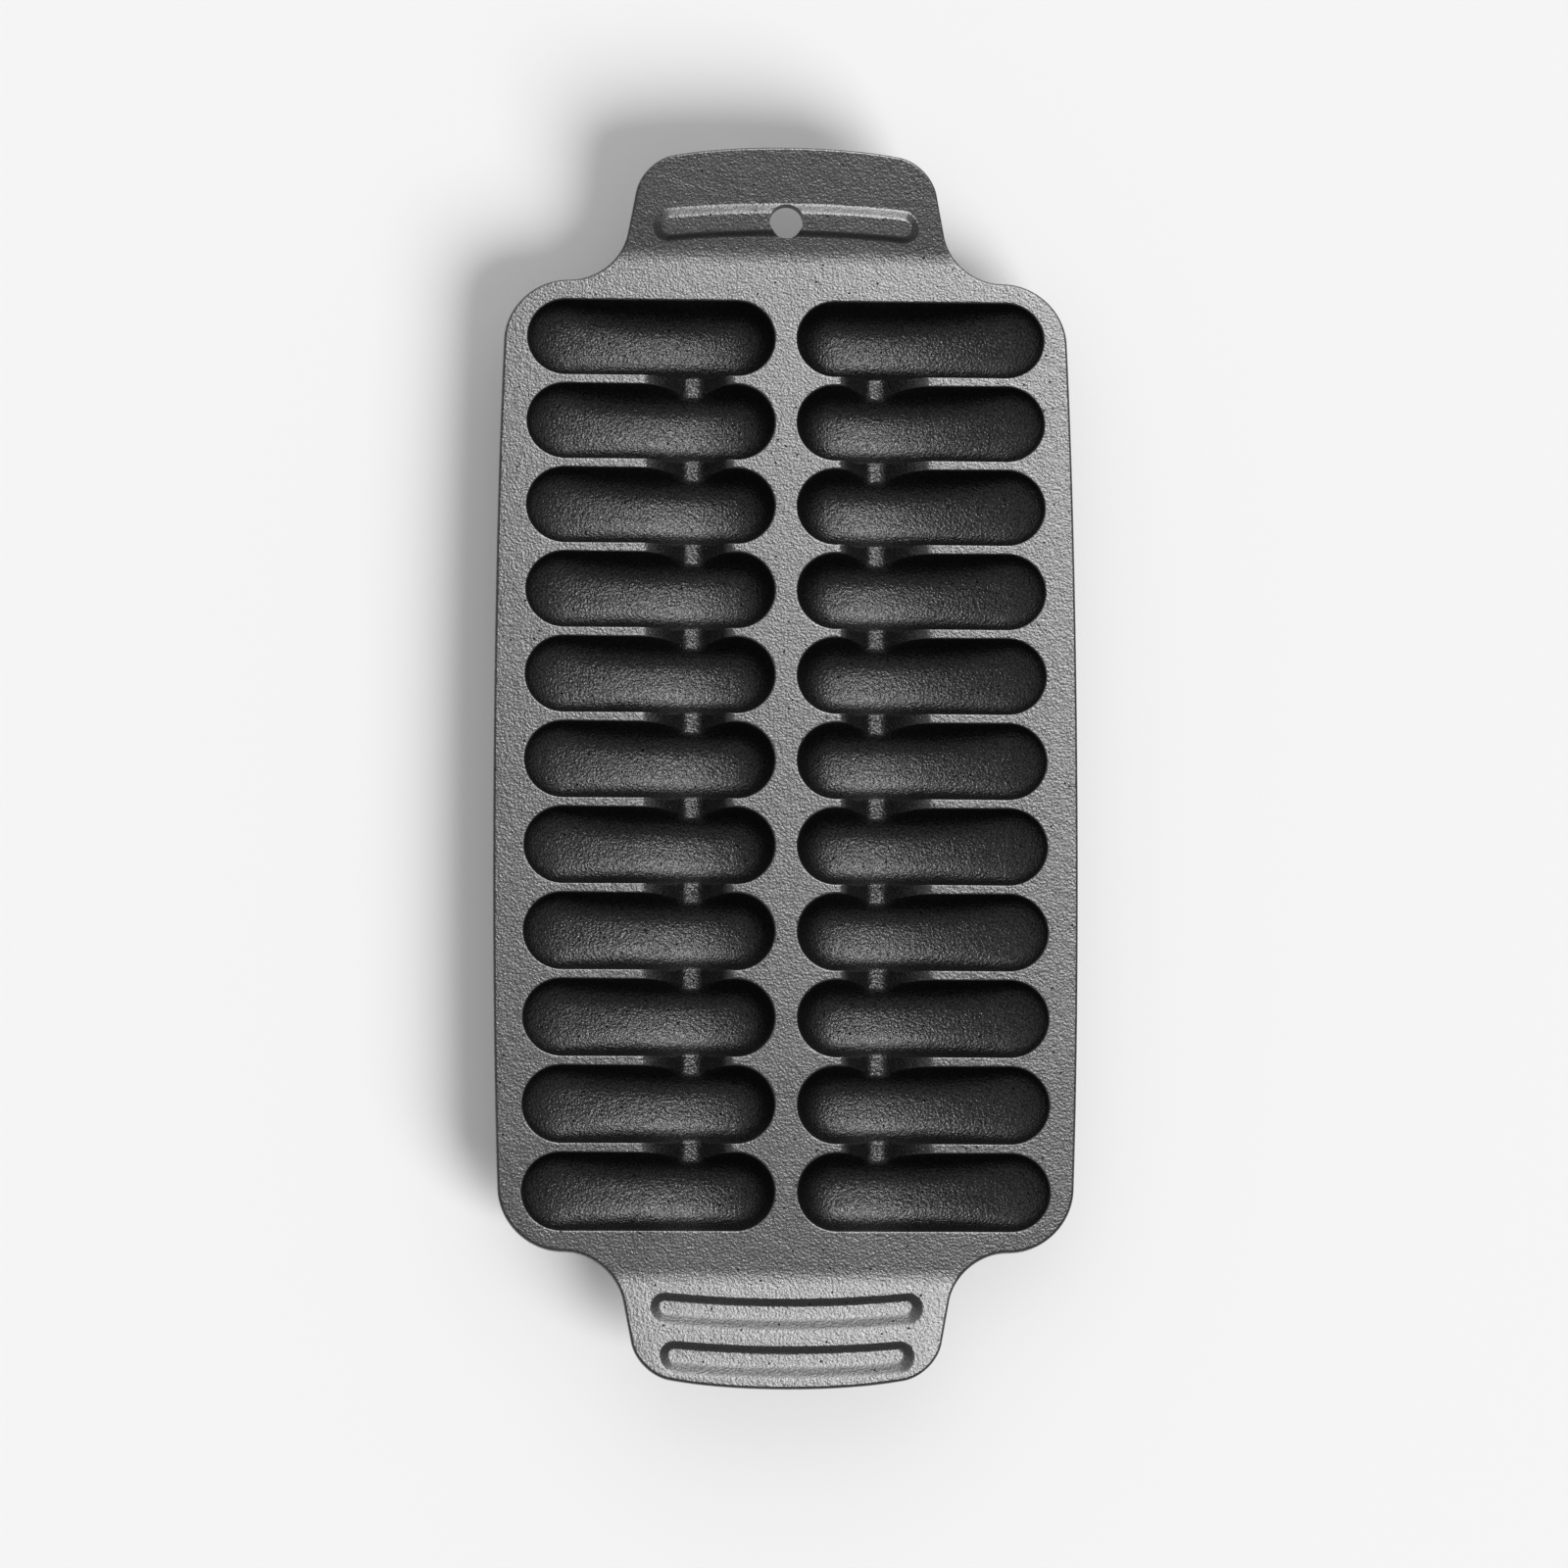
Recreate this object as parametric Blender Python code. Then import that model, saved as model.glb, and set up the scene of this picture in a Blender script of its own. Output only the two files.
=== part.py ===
"""Cast-iron shrimp grill pan, modelled as the one casting that it is.

A flat plate carries two columns of curved cavities. A cup hangs under the plate round each cavity,
and a notch in each cross wall joins a cavity to the next. A handle rises gently at each end: the one
at +Y has a raised grip rib with a hanging hole through its middle, the one at -Y has two sunk grip
grooves. Metres, +Z up, +Y towards the hanging hole. The pan stands on the flat pads under its cups,
at z = 0.
"""

import math

import bmesh
import bpy
from mathutils import Matrix, Vector

# Cavities: how many, their plan, and the walls left between them at the plate's top.
ROWS = 11
CAVITY_LENGTH = 0.0803
CAVITY_WIDTH = 0.0248
CROSS_WALL = 0.0030
MIDDLE_WEB = 0.0074

# The floor of a cavity dips from its outer end to a lowest place, then climbs to its inner end.
OUTER_END_DEPTH = 0.0045
LOWEST_DEPTH = 0.0180
INNER_END_DEPTH = 0.0130
LOWEST_PLACE = 0.0552

# Thickness of the iron: round a cavity's sides, under its lowest place, and of the plate.
CUP_WALL = 0.0034
CUP_FLOOR = 0.0035
PAD_RELIEF = 0.0004
PAD_SHARE = 0.32
PLATE_THICKNESS = 0.0045
PLATE_EDGE_RADIUS = 0.0018

# Notches in the cross walls. The outer flank is rounded over more than the inner one.
NOTCH_PLACE = 0.0541
NOTCH_DEPTH = 0.0133
NOTCH_FLOOR_WIDTH = 0.0057
NOTCH_OUTER_REACH = 0.0122
NOTCH_INNER_REACH = 0.0110
NOTCH_OUTER_RADIUS = 0.0130
NOTCH_INNER_RADIUS = 0.0030
NOTCH_LENGTH = 0.0150
SADDLE_IRON = 0.0034
SPINE_DEPTH = 0.0100
SPINE_WIDTH = 0.0050
SPINE_TOP_WIDTH = 0.0090

# Plan of the plate: straight tangents that meet at these corners, each rounded by its radius.
SIDE_MARGIN = 0.0070
END_MARGIN = 0.0059
SIDE_SWELL = 0.0059
SIDE_RADIUS = 3.58
BODY_CORNER_RADIUS = 0.0214
SHOULDER_RADIUS = 0.0193
SHOULDER_RISE = 0.0015
HANDLE_ROOT_WIDTH = 0.1091
HANDLE_TIP_WIDTH = 0.0943
HANDLE_LENGTH = 0.0399
HANDLE_CROWN = 0.0079
HANDLE_CORNER_RADIUS = 0.0157
HANDLE_END_RADIUS = 0.218

# Handles rise from a bend beyond the last cavity.
BEND_OFFSET = 0.0082
BEND_RADIUS = 0.055
HANDLE_ANGLE = math.radians(9.0)

# Grips and hanging hole, placed by their distance from the shoulder and from the handle's sides.
GRIP_OFFSET = 0.0205
GRIP_SIDE_MARGIN = 0.0078
GRIP_WIDTH = 0.0108
GRIP_FLANK = 0.0034
GRIP_ARCH_RADIUS = 0.391
RIB_HEIGHT = 0.0017
GROOVE_DEPTH = 0.0019
OUTER_GROOVE_STEP = 0.0151
HANGING_HOLE_DIAMETER = 0.0110

# How finely round stretches are divided, and how far a cutter runs past what it cuts.
CAVITY_END_STEPS = 6
CAVITY_SIDE_STEPS = 6
CUP_END_STEPS = 5
CUP_SIDE_STEPS = 5
GRIP_STEPS = 8
GRIP_OVERRUN = 0.2
BEND_STEPS = 3
HOLE_STEPS = 24
SIDE_SHARE = 0.95
TINY = 1e-7
CUTTER_EXCESS = 0.002
NOTCH_RIM_RISE = 0.0002
CUP_BURIED_SHARE = 0.5
SADDLE_BURIED_SHARE = 0.63
SADDLE_END_SHARE = 0.22
SPINE_BURIED_SHARE = 0.71
SPINE_END_SHARE = 0.31

# Section across a cavity or cup: a wall with some draft that rounds over into a bowl-shaped floor.
# The levels are shares of the depth at that place: 0 at the rim, 1 on the centreline.
SECTION_FULLNESS = 3.4
SECTION_DRAFT = 0.10
CAVITY_LEVELS = (0.0, 0.45, 0.78, 0.94, 1.0)
CUP_LEVELS = (0.0, 0.62, 0.90)

PITCH = CAVITY_WIDTH + CROSS_WALL
PAN_TOP = LOWEST_DEPTH + CUP_FLOOR
CAVITY_MIDDLE_X = MIDDLE_WEB / 2 + CAVITY_LENGTH / 2
SHOULDER_Y = (ROWS - 1) * PITCH / 2 + CAVITY_WIDTH / 2 + END_MARGIN
BODY_CORNER_X = MIDDLE_WEB / 2 + CAVITY_LENGTH + SIDE_MARGIN
BEND_START = SHOULDER_Y + BEND_OFFSET - BEND_RADIUS * math.tan(HANDLE_ANGLE / 2)
GRIP_Y = SHOULDER_Y + GRIP_OFFSET


def remove_start_objects():
    for item in list(bpy.data.objects):
        bpy.data.objects.remove(item, do_unlink=True)


def cast_iron():
    """Seasoned cast iron: nearly black, dull and a little oily."""
    material = bpy.data.materials.new("seasoned_cast_iron")
    material.use_nodes = True
    shader = material.node_tree.nodes["Principled BSDF"]
    shader.inputs["Base Color"].default_value = (0.055, 0.055, 0.057, 1.0)
    shader.inputs["Roughness"].default_value = 0.52
    shader.inputs["Metallic"].default_value = 0.65
    return material


def object_from(name, shape):
    """Links a new object that holds this bmesh, with its faces turned outwards."""
    bmesh.ops.recalc_face_normals(shape, faces=shape.faces)
    mesh = bpy.data.meshes.new(name)
    shape.to_mesh(mesh)
    shape.free()
    item = bpy.data.objects.new(name, mesh)
    bpy.context.scene.collection.objects.link(item)
    return item


def combine(target, name, shape, operation):
    """Joins this bmesh to the target, or cuts it away, as a helper object that no render shows."""
    helper = object_from(name, shape)
    helper.hide_render = True
    helper.display_type = "WIRE"
    modifier = target.modifiers.new(name, "BOOLEAN")
    modifier.operation = operation
    modifier.object = helper
    modifier.solver = "EXACT"


def rounded_outline(corners):
    """Points round a closed outline whose corners (x, y, radius, steps) become arcs.

    Two arcs that would overlap on the side between them are both drawn smaller. No steps: no arc.
    """
    places = [Vector(corner[:2]) for corner in corners]
    count = len(corners)
    sides = []
    reaches = []
    for index, corner in enumerate(places):
        before = places[index - 1] - corner
        after = places[(index + 1) % count] - corner
        sides.append((before.normalized(), after.normalized(), after.length))
        reaches.append(corners[index][2] / math.tan(before.angle(after) / 2))
    spare = []
    for index, reach in enumerate(reaches):
        both = max(reach + reaches[(index + 1) % count], TINY)
        spare.append(SIDE_SHARE * sides[index][2] / both)
    points = []
    for index, corner in enumerate(places):
        steps = corners[index][3]
        if steps == 0:
            points.append(corner)
            continue
        before, after, _ = sides[index]
        half_angle = before.angle(after) / 2
        reach = reaches[index] * min(1.0, spare[index - 1], spare[index])
        centre = corner + (before + after).normalized() * (reach / math.cos(half_angle))
        start = corner + before * reach - centre
        turn = start.angle_signed(corner + after * reach - centre)
        for step in range(steps + 1):
            spoke = start.copy()
            spoke.rotate(Matrix.Rotation(-turn * step / steps, 2))
            points.append(centre + spoke)
    return points


def stadium(length, width, end_steps, side_steps):
    """Points round a slot with half-round ends, lying along X about the origin."""
    radius = width / 2
    straight = length - width
    points = []
    for side in (1, -1):
        for step in range(end_steps + 1):
            angle = side * math.pi / 2 - math.pi * step / end_steps
            points.append((side * straight / 2 + radius * math.cos(angle), radius * math.sin(angle)))
        for step in range(1, side_steps):
            points.append((side * straight * (0.5 - step / side_steps), -side * radius))
    return points


def loft(shape, rings):
    """Closes a stack of like rings into a solid. A ring drawn together to a line closes the end."""
    loops = [[shape.verts.new(point) for point in ring] for ring in rings]
    for upper, lower in zip(loops, loops[1:]):
        for index in range(len(upper)):
            nearer, further = index - 1, index
            shape.faces.new((upper[nearer], upper[further], lower[further], lower[nearer]))
    shape.faces.new(loops[0])
    if len({tuple(round(c, 7) for c in point) for point in rings[-1]}) == len(rings[-1]):
        shape.faces.new(loops[-1])


def width_share(level):
    """How wide a cavity still is, as a share of its rim's width, at this share of its depth."""
    return (1 - level**SECTION_FULLNESS) ** (1 / SECTION_FULLNESS) * (1 - SECTION_DRAFT * level)


def floor_depth(along):
    """Depth of a cavity's centreline, this far from its outer end: one arc each way."""
    if along < LOWEST_PLACE:
        rise = LOWEST_DEPTH - OUTER_END_DEPTH
        span = LOWEST_PLACE
    else:
        rise = LOWEST_DEPTH - INNER_END_DEPTH
        span = CAVITY_LENGTH - LOWEST_PLACE
    radius = (span**2 + rise**2) / (2 * rise)
    offset = min(abs(along - LOWEST_PLACE), span)
    return LOWEST_DEPTH - (radius - math.sqrt(radius**2 - offset**2))


def cavity_centres():
    """Row number, side (1 or -1) and centre of each cavity."""
    for row in range(ROWS):
        y = (row - (ROWS - 1) / 2) * PITCH
        for side in (1, -1):
            yield row, side, side * CAVITY_MIDDLE_X, y


def trough(shape, side, centre_x, centre_y, grow, sections, steps, heights):
    """A solid in the form of a cavity grown outwards all round. heights gives z at (along, level)."""
    rings = []
    for share, level in sections:
        width = (CAVITY_WIDTH + 2 * grow) * share
        length = CAVITY_LENGTH + 2 * grow - (CAVITY_WIDTH + 2 * grow) * (1 - share)
        plan = stadium(length, width, *steps)
        ring = []
        for x, y in plan:
            along = CAVITY_LENGTH / 2 - side * x
            ring.append((centre_x + x, centre_y + y, heights(along, level)))
        rings.append(ring)
    top = heights(0, None)
    rings.insert(0, [(x, y, top) for x, y, _ in rings[0]])
    loft(shape, rings)
    bmesh.ops.remove_doubles(shape, verts=shape.verts, dist=TINY)


def lift(y):
    """Height that the handle's bend adds at this distance along the pan, as straight facets."""
    distance = abs(y) - BEND_START
    if distance <= 0:
        return 0.0
    places = bend_places()
    for (near, low), (far, high) in zip(places, places[1:]):
        if distance <= far:
            return low + (high - low) * (distance - near) / (far - near)
    end, height = places[-1]
    return height + (distance - end) * math.tan(HANDLE_ANGLE)


def bend_places():
    """Distance from the start of the bend, and height there, of each facet line of the bend."""
    places = []
    for step in range(BEND_STEPS + 1):
        angle = HANDLE_ANGLE * step / BEND_STEPS
        places.append((BEND_RADIUS * math.sin(angle), BEND_RADIUS * (1 - math.cos(angle))))
    return places


def plate_corners():
    """Corners of the plate's plan, anticlockwise, with their radii and arc steps."""
    tip_y = SHOULDER_Y + HANDLE_LENGTH
    quarter = (
        (BODY_CORNER_X, SHOULDER_Y, BODY_CORNER_RADIUS, 6),
        (HANDLE_ROOT_WIDTH / 2, SHOULDER_Y + SHOULDER_RISE, SHOULDER_RADIUS, 6),
        (HANDLE_TIP_WIDTH / 2, tip_y, HANDLE_CORNER_RADIUS, 5),
    )
    side = (BODY_CORNER_X + SIDE_SWELL, 0.0, SIDE_RADIUS, 6)
    end = (0.0, tip_y + HANDLE_CROWN, HANDLE_END_RADIUS, 5)
    upper = [side, *quarter, end] + [(-x, y, r, n) for x, y, r, n in reversed(quarter)]
    lower = [(-x, -y, r, n) for x, y, r, n in upper]
    return upper + lower


def plate():
    """The flat plate with both handles, its edges rounded and its handles bent up."""
    shape = bmesh.new()
    outline = rounded_outline(plate_corners())
    face = shape.faces.new([shape.verts.new((p.x, p.y, PAN_TOP - PLATE_THICKNESS)) for p in outline])
    grown = bmesh.ops.extrude_face_region(shape, geom=[face])
    raised = [item for item in grown["geom"] if isinstance(item, bmesh.types.BMVert)]
    bmesh.ops.translate(shape, verts=raised, vec=(0, 0, PLATE_THICKNESS))
    level = [edge for edge in shape.edges if edge.verts[0].co.z == edge.verts[1].co.z]
    bmesh.ops.bevel(
        shape,
        geom=level,
        offset=PLATE_EDGE_RADIUS,
        offset_type="OFFSET",
        affect="EDGES",
        segments=2,
        profile=0.5,
        material=-1,
    )
    for distance, _ in bend_places():
        for end in (1, -1):
            bmesh.ops.bisect_plane(
                shape,
                geom=shape.verts[:] + shape.edges[:] + shape.faces[:],
                dist=TINY,
                plane_co=(0, end * (BEND_START + distance), 0),
                plane_no=(0, 1, 0),
            )
    for vert in shape.verts:
        vert.co.z += lift(vert.co.y)
    return shape


def cups(parity):
    """The outer form of every second row of cups, sunk a little into the plate, with flat pads.

    The other rows are divided differently, so that no edges of neighbours cross at one point.
    """
    shape = bmesh.new()
    steps = (CUP_END_STEPS - parity, CUP_SIDE_STEPS + parity)
    sections = [(width_share(level), level) for level in CUP_LEVELS] + [(PAD_SHARE, 1.0), (0.0, 1.0)]
    top = PAN_TOP - PLATE_THICKNESS * CUP_BURIED_SHARE
    under = (top + PAN_TOP - PLATE_THICKNESS) / 2

    def heights(along, level):
        if level is None:
            return top
        inside = min(max(along, 0.0), CAVITY_LENGTH)
        lowest = PAN_TOP - floor_depth(inside) - CUP_FLOOR - PAD_RELIEF
        return max(under - (under - lowest) * level, 0.0)

    for row, side, x, y in cavity_centres():
        if row % 2 == parity:
            one = bmesh.new()
            trough(one, side, x, y, CUP_WALL, sections, steps, heights)
            add_to(shape, one)
    return shape


def cavities():
    """The hollow of every cavity, running up past the plate."""
    shape = bmesh.new()
    sections = [(width_share(level), level) for level in CAVITY_LEVELS]

    def heights(along, level):
        if level is None:
            return PAN_TOP + CUTTER_EXCESS
        inside = min(max(along, 0.0), CAVITY_LENGTH)
        return PAN_TOP - floor_depth(inside) * level

    for _, side, x, y in cavity_centres():
        one = bmesh.new()
        steps = (CAVITY_END_STEPS, CAVITY_SIDE_STEPS)
        trough(one, side, x, y, 0.0, sections, steps, heights)
        add_to(shape, one)
    return shape


def add_to(shape, one):
    """Moves a bmesh's faces into another."""
    copies = {vert: shape.verts.new(vert.co) for vert in one.verts}
    for face in one.faces:
        shape.faces.new([copies[vert] for vert in face.verts])
    one.free()


def notch_profile():
    """The outline of a notch seen along the pan, from its outer flank to its inner one."""
    above = PAN_TOP + CUTTER_EXCESS
    rim = PAN_TOP + NOTCH_RIM_RISE
    floor = PAN_TOP - NOTCH_DEPTH
    sharp = (0.0, 0)
    corners = (
        (-NOTCH_OUTER_REACH - NOTCH_OUTER_RADIUS, above, *sharp),
        (-NOTCH_OUTER_REACH - NOTCH_OUTER_RADIUS, rim, *sharp),
        (-NOTCH_OUTER_REACH, rim, NOTCH_OUTER_RADIUS, 4),
        (-NOTCH_FLOOR_WIDTH / 2, floor, *sharp),
        (NOTCH_FLOOR_WIDTH / 2, floor, *sharp),
        (NOTCH_INNER_REACH, rim, NOTCH_INNER_RADIUS, 3),
        (NOTCH_INNER_REACH + NOTCH_INNER_RADIUS, rim, *sharp),
        (NOTCH_INNER_REACH + NOTCH_INNER_RADIUS, above, *sharp),
    )
    return [(point.x, point.y) for point in rounded_outline(corners)]


def saddle_profile():
    """The outline of the iron under the notches: the notch's own, a wall's thickness further out."""
    top = PAN_TOP - PLATE_THICKNESS * SADDLE_BURIED_SHARE
    floor = PAN_TOP - NOTCH_DEPTH - SADDLE_IRON
    half = NOTCH_FLOOR_WIDTH / 2 + SADDLE_IRON / 2
    outer = NOTCH_OUTER_REACH + SADDLE_IRON
    inner = NOTCH_INNER_REACH + SADDLE_IRON
    return [(-outer, top), (-half, floor), (half, floor), (inner, top)]


def bar(shape, side, profile, y_from, y_to):
    """A bar of this profile along the pan, in line with the notches of one side."""
    middle = side * (CAVITY_MIDDLE_X + CAVITY_LENGTH / 2 - NOTCH_PLACE)
    loft(shape, [[(middle - side * x, y, z) for x, z in profile] for y in (y_from, y_to)])


def spine():
    """The iron between the two columns of cups, which would be too narrow a slot to cast."""
    shape = bmesh.new()
    top = PAN_TOP - PLATE_THICKNESS * SPINE_BURIED_SHARE
    floor = PAN_TOP - SPINE_DEPTH
    profile = [(-SPINE_TOP_WIDTH / 2, top), (-SPINE_WIDTH / 2, floor)]
    profile += [(SPINE_WIDTH / 2, floor), (SPINE_TOP_WIDTH / 2, top)]
    end = (ROWS - 1) * PITCH / 2 + CAVITY_WIDTH * SPINE_END_SHARE
    loft(shape, [[(x, y, z) for x, z in profile] for y in (-end, end)])
    return shape


def notches():
    """A notch through each cross wall, close to the lowest place of the cavities on both sides."""
    shape = bmesh.new()
    profile = notch_profile()
    for row, side, _, y in cavity_centres():
        if row < ROWS - 1:
            wall_y = y + PITCH / 2
            bar(shape, side, profile, wall_y - NOTCH_LENGTH / 2, wall_y + NOTCH_LENGTH / 2)
    return shape


def saddles():
    """The iron that closes each notch from below: a bar that ends inside the first and last cup."""
    shape = bmesh.new()
    end = (ROWS - 1) * PITCH / 2 - CAVITY_WIDTH * SADDLE_END_SHARE
    for side in (1, -1):
        bar(shape, side, saddle_profile(), -end, end)
    return shape


def handle_width(y):
    """Width of a handle this far from the pan's middle, before its corners are rounded."""
    root_y = SHOULDER_Y + SHOULDER_RISE
    share = (y - root_y) / (SHOULDER_Y + HANDLE_LENGTH - root_y)
    return HANDLE_ROOT_WIDTH + (HANDLE_TIP_WIDTH - HANDLE_ROOT_WIDTH) * share


def grips(end, offsets, height):
    """Grips on a handle's top face: raised where height is above 0, sunk where it is below.

    The flank runs a little past the face, then straight on, so that the helper crosses it cleanly.
    """
    shape = bmesh.new()
    past = -GRIP_FLANK * GRIP_OVERRUN
    bury = -math.copysign(CUTTER_EXCESS, height)
    sections = ((past, bury), (past, -height * GRIP_OVERRUN), (GRIP_FLANK, height))
    for offset in offsets:
        length = handle_width(offset) - 2 * GRIP_SIDE_MARGIN
        rings = []
        for inset, rise in sections:
            ring = []
            for x, y in stadium(length - 2 * inset, GRIP_WIDTH - 2 * inset, GRIP_STEPS, GRIP_STEPS):
                place = offset + y - x**2 / (2 * GRIP_ARCH_RADIUS)
                slope = (place - GRIP_Y) * math.tan(HANDLE_ANGLE)
                ring.append((x, end * place, PAN_TOP + lift(GRIP_Y) + slope + rise))
            rings.append(ring)
        loft(shape, rings)
    return shape


def hanging_hole():
    shape = bmesh.new()
    bmesh.ops.create_cone(
        shape,
        cap_ends=True,
        segments=HOLE_STEPS,
        radius1=HANGING_HOLE_DIAMETER / 2,
        radius2=HANGING_HOLE_DIAMETER / 2,
        depth=PLATE_THICKNESS + 4 * CUTTER_EXCESS + 2 * RIB_HEIGHT,
    )
    middle = PAN_TOP + lift(GRIP_Y) - PLATE_THICKNESS / 2
    bmesh.ops.translate(shape, verts=shape.verts, vec=(0, GRIP_Y, middle))
    return shape


def casting():
    body = object_from("pan_casting", plate())
    combine(body, "middle_spine", spine(), "UNION")
    combine(body, "notch_saddles", saddles(), "UNION")
    combine(body, "cups_of_even_rows", cups(0), "UNION")
    combine(body, "cups_of_odd_rows", cups(1), "UNION")
    combine(body, "cavity_hollows", cavities(), "DIFFERENCE")
    combine(body, "cross_wall_notches", notches(), "DIFFERENCE")
    combine(body, "raised_rib", grips(1, [GRIP_Y], RIB_HEIGHT), "UNION")
    grooves = grips(-1, [GRIP_Y, GRIP_Y + OUTER_GROOVE_STEP], -GROOVE_DEPTH)
    combine(body, "sunk_grooves", grooves, "DIFFERENCE")
    combine(body, "hanging_hole", hanging_hole(), "DIFFERENCE")
    body.data.materials.append(cast_iron())
    return body


remove_start_objects()
casting()
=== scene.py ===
"""A cast-iron shrimp grill pan on a pale floor, seen from above.

The pan is one sand casting, so it is one piece. Its sections follow the way its form is built up:
the plate, the cups under it, the cavities, the grips, the bent handles and the hanging hole. The
finish, the floor, the light and the camera come last.
"""

import math

import bmesh
import bpy
from mathutils import Matrix, Vector


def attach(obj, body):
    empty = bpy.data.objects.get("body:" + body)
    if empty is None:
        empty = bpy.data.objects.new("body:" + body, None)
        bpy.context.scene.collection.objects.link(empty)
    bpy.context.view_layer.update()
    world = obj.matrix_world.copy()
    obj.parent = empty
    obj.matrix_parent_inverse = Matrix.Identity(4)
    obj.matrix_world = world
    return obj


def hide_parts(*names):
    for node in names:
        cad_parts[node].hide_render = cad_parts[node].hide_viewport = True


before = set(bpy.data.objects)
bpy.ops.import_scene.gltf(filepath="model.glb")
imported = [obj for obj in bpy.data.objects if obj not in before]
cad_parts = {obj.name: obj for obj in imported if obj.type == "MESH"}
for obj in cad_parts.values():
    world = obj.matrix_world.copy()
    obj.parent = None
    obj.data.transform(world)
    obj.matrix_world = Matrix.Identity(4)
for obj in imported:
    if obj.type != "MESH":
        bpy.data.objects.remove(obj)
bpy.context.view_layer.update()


# The plate: the pan's flat top, with a short handle at each end. Cast iron, 4.5 mm thick, its
# edges rounded by the mould and by tumbling. Everything else is cast in one with it.

ROWS = 11
CAVITY_LENGTH = 0.0803
CAVITY_WIDTH = 0.0248
CROSS_WALL = 0.0030
MIDDLE_WEB = 0.0074
LOWEST_DEPTH = 0.0180
CUP_FLOOR = 0.0035
PITCH = CAVITY_WIDTH + CROSS_WALL
PAN_TOP = LOWEST_DEPTH + CUP_FLOOR

PLATE_THICKNESS = 0.0045
PLATE_EDGE_RADIUS = 0.0009
PLATE_EDGE_STEPS = 5
SIDE_MARGIN = 0.0070
END_MARGIN = 0.0059
SIDE_SWELL = 0.0059
SIDE_RADIUS = 3.58
BODY_CORNER_RADIUS = 0.0214
SHOULDER_RADIUS = 0.0193
SHOULDER_RISE = 0.0015
HANDLE_ROOT_WIDTH = 0.1091
HANDLE_TIP_WIDTH = 0.0943
HANDLE_LENGTH = 0.0399
HANDLE_CROWN = 0.0079
HANDLE_CORNER_RADIUS = 0.0157
HANDLE_END_RADIUS = 0.218
CORNER_STEPS = 18
SIDE_STEPS = 24
END_STEPS = 20
SIDE_SHARE = 0.95
TINY = 1e-7

SHOULDER_Y = (ROWS - 1) * PITCH / 2 + CAVITY_WIDTH / 2 + END_MARGIN
BODY_CORNER_X = MIDDLE_WEB / 2 + CAVITY_LENGTH + SIDE_MARGIN


def plate_corners():
    """Corners of the plate's plan, anticlockwise: place, radius and steps of the arc."""
    tip_y = SHOULDER_Y + HANDLE_LENGTH
    quarter = (
        (BODY_CORNER_X, SHOULDER_Y, BODY_CORNER_RADIUS, CORNER_STEPS),
        (HANDLE_ROOT_WIDTH / 2, SHOULDER_Y + SHOULDER_RISE, SHOULDER_RADIUS, CORNER_STEPS),
        (HANDLE_TIP_WIDTH / 2, tip_y, HANDLE_CORNER_RADIUS, CORNER_STEPS),
    )
    side = (BODY_CORNER_X + SIDE_SWELL, 0.0, SIDE_RADIUS, SIDE_STEPS)
    end = (0.0, tip_y + HANDLE_CROWN, HANDLE_END_RADIUS, END_STEPS)
    upper = [side, *quarter, end] + [(-x, y, r, n) for x, y, r, n in reversed(quarter)]
    return upper + [(-x, -y, r, n) for x, y, r, n in upper]


def arc_reaches(corners):
    """How far each corner's arc reaches along its sides, made smaller where two would overlap."""
    places = [Vector(corner[:2]) for corner in corners]
    count = len(corners)
    lengths = [(places[(index + 1) % count] - places[index]).length for index in range(count)]
    reaches = []
    for index, place in enumerate(places):
        angle = (places[index - 1] - place).angle(places[(index + 1) % count] - place)
        reaches.append(corners[index][2] / math.tan(angle / 2))
    room = [SIDE_SHARE * lengths[i] / (reaches[i] + reaches[(i + 1) % count]) for i in range(count)]
    return [reaches[i] * min(1.0, room[i - 1], room[i]) for i in range(count)]


def bevel(shape, edges, offset, segments):
    """Rounds these edges with a circular arc."""
    bmesh.ops.bevel(
        shape,
        geom=edges,
        offset=offset,
        offset_type="OFFSET",
        affect="EDGES",
        segments=segments,
        profile=0.5,
        material=-1,
    )


def is_upright(edge):
    return abs(edge.verts[0].co.z - edge.verts[1].co.z) > PLATE_THICKNESS / 2


def put_in_order(shape):
    """Sorts a mesh by place, because the operators' own order changes from run to run."""
    orders = (
        (shape.verts, lambda vert: vert.co[:]),
        (shape.edges, lambda edge: sorted(vert.index for vert in edge.verts)),
        (shape.faces, lambda face: sorted(vert.index for vert in face.verts)),
    )
    for elements, key in orders:
        for rank, element in enumerate(sorted(elements, key=key)):
            element.index = rank
        elements.sort()


def object_from(name, shape):
    """Links a new object that holds this bmesh, with its faces turned outwards."""
    bmesh.ops.recalc_face_normals(shape, faces=shape.faces)
    put_in_order(shape)
    mesh = bpy.data.meshes.new(name)
    shape.to_mesh(mesh)
    shape.free()
    item = bpy.data.objects.new(name, mesh)
    bpy.context.scene.collection.objects.link(item)
    return item


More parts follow.
